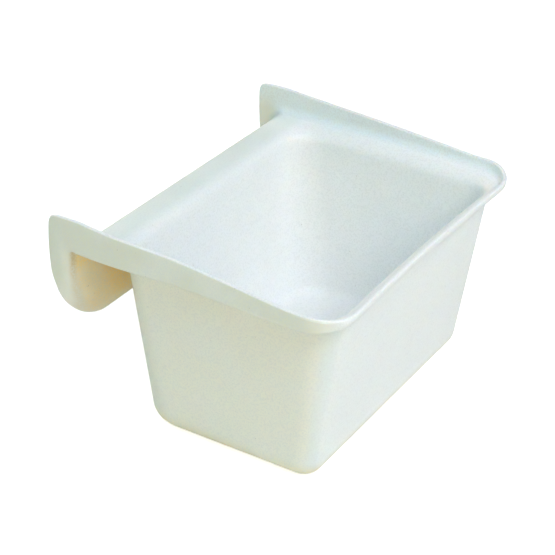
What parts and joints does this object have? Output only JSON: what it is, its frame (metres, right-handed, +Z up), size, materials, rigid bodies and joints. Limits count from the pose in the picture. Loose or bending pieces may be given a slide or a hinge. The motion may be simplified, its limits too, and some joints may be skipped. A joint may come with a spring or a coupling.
{
  "type": "hook-over feed trough",
  "caption": "White moulded plastic feed trough: tapered open tub with raised side plates and a rear shelf that bends down into a lip to hang over a rail.",
  "frame": {"origin": "centre of the base's underside", "axes": "+Z up, the front faces -Y, the hook is at +Y, +X runs across the width"},
  "size_m": [0.3878, 0.3088, 0.2176],
  "materials": {
    "white_plastic": "satin, moulded, faint orange-peel grain, off-white"
  },
  "bodies": {
    "root": {"hook_over_trough": "white_plastic"}
  },
  "joints": []
}
